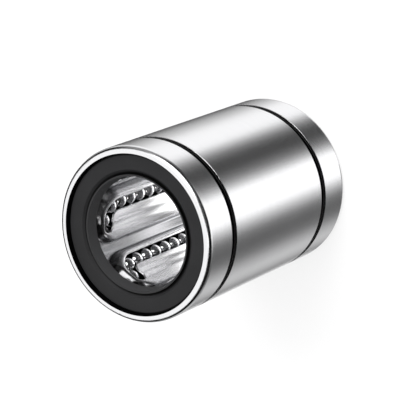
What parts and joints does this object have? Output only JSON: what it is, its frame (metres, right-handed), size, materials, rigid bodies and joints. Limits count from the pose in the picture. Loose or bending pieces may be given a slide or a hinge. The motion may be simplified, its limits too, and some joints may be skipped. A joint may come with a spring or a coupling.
{
  "type": "linear ball bearing",
  "caption": "Plain round sealed linear ball bearing: a ground steel sleeve with ring grooves, rubber lip seals and balls that roll round slots in a pressed steel retainer.",
  "frame": {"origin": "centre of the lower end face, which the bearing stands on", "axes": "+Z along the axis of the bore; the end seen in the picture is the upper one; circuit 1's load balls lie towards +X"},
  "size_m": [0.04, 0.04, 0.059],
  "materials": {
    "bearing_steel": "hardened bearing steel, ground and lightly polished",
    "retainer_steel": "pressed steel sheet, bright",
    "ball_steel": "lapped bearing balls, mirror bright",
    "ring_steel": "turned steel ring",
    "seal_rubber": "moulded nitrile rubber, dark grey, matt"
  },
  "bodies": {
    "bearing_shell": {"outer_cylinder": "bearing_steel", "ball_retainer": "retainer_steel", "side_ring_top": "ring_steel", "side_ring_bottom": "ring_steel", "seal_top": "seal_rubber", "seal_bottom": "seal_rubber"},
    "load_row_1": {"load_balls_1": "ball_steel"},
    "return_row_1": {"return_balls_1": "ball_steel"},
    "top_turn_1": {"top_turn_balls_1": "ball_steel"},
    "bottom_turn_1": {"bottom_turn_balls_1": "ball_steel"},
    "load_row_2": {"load_balls_2": "ball_steel"},
    "return_row_2": {"return_balls_2": "ball_steel"},
    "top_turn_2": {"top_turn_balls_2": "ball_steel"},
    "bottom_turn_2": {"bottom_turn_balls_2": "ball_steel"},
    "load_row_3": {"load_balls_3": "ball_steel"},
    "return_row_3": {"return_balls_3": "ball_steel"},
    "top_turn_3": {"top_turn_balls_3": "ball_steel"},
    "bottom_turn_3": {"bottom_turn_balls_3": "ball_steel"},
    "load_row_4": {"load_balls_4": "ball_steel"},
    "return_row_4": {"return_balls_4": "ball_steel"},
    "top_turn_4": {"top_turn_balls_4": "ball_steel"},
    "bottom_turn_4": {"bottom_turn_balls_4": "ball_steel"},
    "load_row_5": {"load_balls_5": "ball_steel"},
    "return_row_5": {"return_balls_5": "ball_steel"},
    "top_turn_5": {"top_turn_balls_5": "ball_steel"},
    "bottom_turn_5": {"bottom_turn_balls_5": "ball_steel"},
    "load_row_6": {"load_balls_6": "ball_steel"},
    "return_row_6": {"return_balls_6": "ball_steel"},
    "top_turn_6": {"top_turn_balls_6": "ball_steel"},
    "bottom_turn_6": {"bottom_turn_balls_6": "ball_steel"}
  },
  "joints": [
    {"name": "circuit_1", "type": "slide", "parent": "bearing_shell", "child": "load_row_1", "axis": [0, 0, 1], "range_m": [-0.0019, 0.0019]},
    {"name": "circuit_1_return", "type": "slide", "parent": "bearing_shell", "child": "return_row_1", "axis": [0, 0, -1], "range_m": [-0.0019, 0.0019]},
    {"name": "circuit_1_top_turn", "type": "hinge", "parent": "bearing_shell", "child": "top_turn_1", "pos_m": [0.01429, 0.00363, 0.0466], "axis": [-1, 0, 0], "range_deg": [-30, 30]},
    {"name": "circuit_1_bottom_turn", "type": "hinge", "parent": "bearing_shell", "child": "bottom_turn_1", "pos_m": [0.01429, 0.00363, 0.0124], "axis": [-1, 0, 0], "range_deg": [-30, 30]},
    {"name": "circuit_2", "type": "slide", "parent": "bearing_shell", "child": "load_row_2", "axis": [0, 0, 1], "range_m": [-0.0019, 0.0019]},
    {"name": "circuit_2_return", "type": "slide", "parent": "bearing_shell", "child": "return_row_2", "axis": [0, 0, -1], "range_m": [-0.0019, 0.0019]},
    {"name": "circuit_2_top_turn", "type": "hinge", "parent": "bearing_shell", "child": "top_turn_2", "pos_m": [0.004, 0.01419, 0.0466], "axis": [-0.5, -0.866, 0], "range_deg": [-30, 30]},
    {"name": "circuit_2_bottom_turn", "type": "hinge", "parent": "bearing_shell", "child": "bottom_turn_2", "pos_m": [0.004, 0.01419, 0.0124], "axis": [-0.5, -0.866, 0], "range_deg": [-30, 30]},
    {"name": "circuit_3", "type": "slide", "parent": "bearing_shell", "child": "load_row_3", "axis": [0, 0, 1], "range_m": [-0.0019, 0.0019]},
    {"name": "circuit_3_return", "type": "slide", "parent": "bearing_shell", "child": "return_row_3", "axis": [0, 0, -1], "range_m": [-0.0019, 0.0019]},
    {"name": "circuit_3_top_turn", "type": "hinge", "parent": "bearing_shell", "child": "top_turn_3", "pos_m": [-0.01029, 0.01056, 0.0466], "axis": [0.5, -0.866, 0], "range_deg": [-30, 30]},
    {"name": "circuit_3_bottom_turn", "type": "hinge", "parent": "bearing_shell", "child": "bottom_turn_3", "pos_m": [-0.01029, 0.01056, 0.0124], "axis": [0.5, -0.866, 0], "range_deg": [-30, 30]},
    {"name": "circuit_4", "type": "slide", "parent": "bearing_shell", "child": "load_row_4", "axis": [0, 0, 1], "range_m": [-0.0019, 0.0019]},
    {"name": "circuit_4_return", "type": "slide", "parent": "bearing_shell", "child": "return_row_4", "axis": [0, 0, -1], "range_m": [-0.0019, 0.0019]},
    {"name": "circuit_4_top_turn", "type": "hinge", "parent": "bearing_shell", "child": "top_turn_4", "pos_m": [-0.01429, -0.00363, 0.0466], "axis": [1, 0, 0], "range_deg": [-30, 30]},
    {"name": "circuit_4_bottom_turn", "type": "hinge", "parent": "bearing_shell", "child": "bottom_turn_4", "pos_m": [-0.01429, -0.00363, 0.0124], "axis": [1, 0, 0], "range_deg": [-30, 30]},
    {"name": "circuit_5", "type": "slide", "parent": "bearing_shell", "child": "load_row_5", "axis": [0, 0, 1], "range_m": [-0.0019, 0.0019]},
    {"name": "circuit_5_return", "type": "slide", "parent": "bearing_shell", "child": "return_row_5", "axis": [0, 0, -1], "range_m": [-0.0019, 0.0019]},
    {"name": "circuit_5_top_turn", "type": "hinge", "parent": "bearing_shell", "child": "top_turn_5", "pos_m": [-0.004, -0.01419, 0.0466], "axis": [0.5, 0.866, 0], "range_deg": [-30, 30]},
    {"name": "circuit_5_bottom_turn", "type": "hinge", "parent": "bearing_shell", "child": "bottom_turn_5", "pos_m": [-0.004, -0.01419, 0.0124], "axis": [0.5, 0.866, 0], "range_deg": [-30, 30]},
    {"name": "circuit_6", "type": "slide", "parent": "bearing_shell", "child": "load_row_6", "axis": [0, 0, 1], "range_m": [-0.0019, 0.0019]},
    {"name": "circuit_6_return", "type": "slide", "parent": "bearing_shell", "child": "return_row_6", "axis": [0, 0, -1], "range_m": [-0.0019, 0.0019]},
    {"name": "circuit_6_top_turn", "type": "hinge", "parent": "bearing_shell", "child": "top_turn_6", "pos_m": [0.01029, -0.01056, 0.0466], "axis": [-0.5, 0.866, 0], "range_deg": [-30, 30]},
    {"name": "circuit_6_bottom_turn", "type": "hinge", "parent": "bearing_shell", "child": "bottom_turn_6", "pos_m": [0.01029, -0.01056, 0.0124], "axis": [-0.5, 0.866, 0], "range_deg": [-30, 30]}
  ],
  "couplings": [
    {"joint": "circuit_1_return", "follows": "circuit_1", "ratio": 1},
    {"joint": "circuit_1_top_turn", "follows": "circuit_1", "rad_per_m": 275.56},
    {"joint": "circuit_1_bottom_turn", "follows": "circuit_1", "rad_per_m": 275.56},
    {"joint": "circuit_2_return", "follows": "circuit_2", "ratio": 1},
    {"joint": "circuit_2_top_turn", "follows": "circuit_2", "rad_per_m": 275.56},
    {"joint": "circuit_2_bottom_turn", "follows": "circuit_2", "rad_per_m": 275.56},
    {"joint": "circuit_3_return", "follows": "circuit_3", "ratio": 1},
    {"joint": "circuit_3_top_turn", "follows": "circuit_3", "rad_per_m": 275.56},
    {"joint": "circuit_3_bottom_turn", "follows": "circuit_3", "rad_per_m": 275.56},
    {"joint": "circuit_4_return", "follows": "circuit_4", "ratio": 1},
    {"joint": "circuit_4_top_turn", "follows": "circuit_4", "rad_per_m": 275.56},
    {"joint": "circuit_4_bottom_turn", "follows": "circuit_4", "rad_per_m": 275.56},
    {"joint": "circuit_5_return", "follows": "circuit_5", "ratio": 1},
    {"joint": "circuit_5_top_turn", "follows": "circuit_5", "rad_per_m": 275.56},
    {"joint": "circuit_5_bottom_turn", "follows": "circuit_5", "rad_per_m": 275.56},
    {"joint": "circuit_6_return", "follows": "circuit_6", "ratio": 1},
    {"joint": "circuit_6_top_turn", "follows": "circuit_6", "rad_per_m": 275.56},
    {"joint": "circuit_6_bottom_turn", "follows": "circuit_6", "rad_per_m": 275.56}
  ]
}
